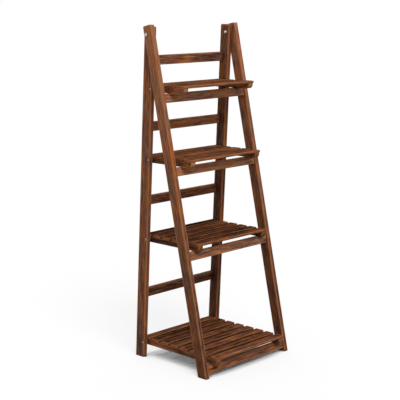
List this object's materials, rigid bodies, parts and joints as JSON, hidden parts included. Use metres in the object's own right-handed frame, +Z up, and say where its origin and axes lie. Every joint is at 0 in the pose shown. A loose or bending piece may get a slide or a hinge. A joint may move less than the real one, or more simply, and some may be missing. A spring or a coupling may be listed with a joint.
{
  "type": "plant ladder stand",
  "caption": "Folding A-frame ladder stand in stained softwood with slatted shelves that deepen towards the floor, for potted plants.",
  "frame": {"origin": "on the floor, in the middle of the stand's width and depth", "axes": "+X to the right as seen from the front, +Y to the rear, +Z up; the shelves' front edges face -Y"},
  "size_m": [0.4086, 0.3582, 1.0991],
  "materials": {
    "leg_wood": "brown stained softwood, satin, planed",
    "rail_wood": "brown stained softwood, satin, planed",
    "slat_wood": "brown stained softwood, satin, planed",
    "batten_wood": "brown stained softwood, satin, planed",
    "brad_steel": "brads stained over with the wood",
    "pivot_steel": "bright zinc-plated steel"
  },
  "bodies": {
    "front_frame": {"front_leg_left": "leg_wood", "front_leg_right": "leg_wood", "front_rail_1": "rail_wood", "front_rail_2": "rail_wood", "front_rail_3": "rail_wood", "front_rail_4": "rail_wood", "top_pivot_bolts": "pivot_steel", "top_pivot_washers": "pivot_steel", "top_pivot_cap_nuts": "pivot_steel"},
    "rear_frame": {"rear_leg_left": "leg_wood", "rear_leg_right": "leg_wood", "rear_rail_1": "rail_wood", "rear_rail_2": "rail_wood", "rear_rail_3": "rail_wood", "rear_rail_4": "rail_wood", "shelf_pivot_bolts": "pivot_steel", "shelf_pivot_spacers": "pivot_steel", "shelf_pivot_washers": "pivot_steel", "shelf_pivot_nuts": "pivot_steel"},
    "shelf_1": {"shelf_1_batten_left": "batten_wood", "shelf_1_batten_right": "batten_wood", "shelf_1_brads": "brad_steel", "shelf_1_slat_1": "slat_wood", "shelf_1_slat_2": "slat_wood", "shelf_1_slat_3": "slat_wood", "shelf_1_slat_4": "slat_wood"},
    "shelf_2": {"shelf_2_batten_left": "batten_wood", "shelf_2_batten_right": "batten_wood", "shelf_2_brads": "brad_steel", "shelf_2_slat_1": "slat_wood", "shelf_2_slat_2": "slat_wood", "shelf_2_slat_3": "slat_wood", "shelf_2_slat_4": "slat_wood", "shelf_2_slat_5": "slat_wood"},
    "shelf_3": {"shelf_3_batten_left": "batten_wood", "shelf_3_batten_right": "batten_wood", "shelf_3_brads": "brad_steel", "shelf_3_slat_1": "slat_wood", "shelf_3_slat_2": "slat_wood", "shelf_3_slat_3": "slat_wood", "shelf_3_slat_4": "slat_wood", "shelf_3_slat_5": "slat_wood", "shelf_3_slat_6": "slat_wood"},
    "shelf_4": {"shelf_4_batten_left": "batten_wood", "shelf_4_batten_right": "batten_wood", "shelf_4_brads": "brad_steel", "shelf_4_slat_1": "slat_wood", "shelf_4_slat_2": "slat_wood", "shelf_4_slat_3": "slat_wood", "shelf_4_slat_4": "slat_wood", "shelf_4_slat_5": "slat_wood", "shelf_4_slat_6": "slat_wood", "shelf_4_slat_7": "slat_wood", "shelf_4_slat_8": "slat_wood"}
  },
  "joints": [
    {"name": "rear_fold", "type": "hinge", "parent": "front_frame", "child": "rear_frame", "pos_m": [0, 0.08319, 1.068], "axis": [-1, 0, 0], "range_deg": [0, 12.5]},
    {"name": "shelf_1_lift", "type": "hinge", "parent": "rear_frame", "child": "shelf_1", "pos_m": [0, 0.09074, 0.897], "axis": [-1, 0, 0], "range_deg": [0, 84]},
    {"name": "shelf_2_lift", "type": "hinge", "parent": "rear_frame", "child": "shelf_2", "pos_m": [0, 0.10548, 0.669], "axis": [-1, 0, 0], "range_deg": [0, 84]},
    {"name": "shelf_3_lift", "type": "hinge", "parent": "rear_frame", "child": "shelf_3", "pos_m": [0, 0.12252, 0.4055], "axis": [-1, 0, 0], "range_deg": [0, 84]},
    {"name": "shelf_4_lift", "type": "hinge", "parent": "rear_frame", "child": "shelf_4", "pos_m": [0, 0.14548, 0.0505], "axis": [-1, 0, 0], "range_deg": [0, 84]}
  ]
}
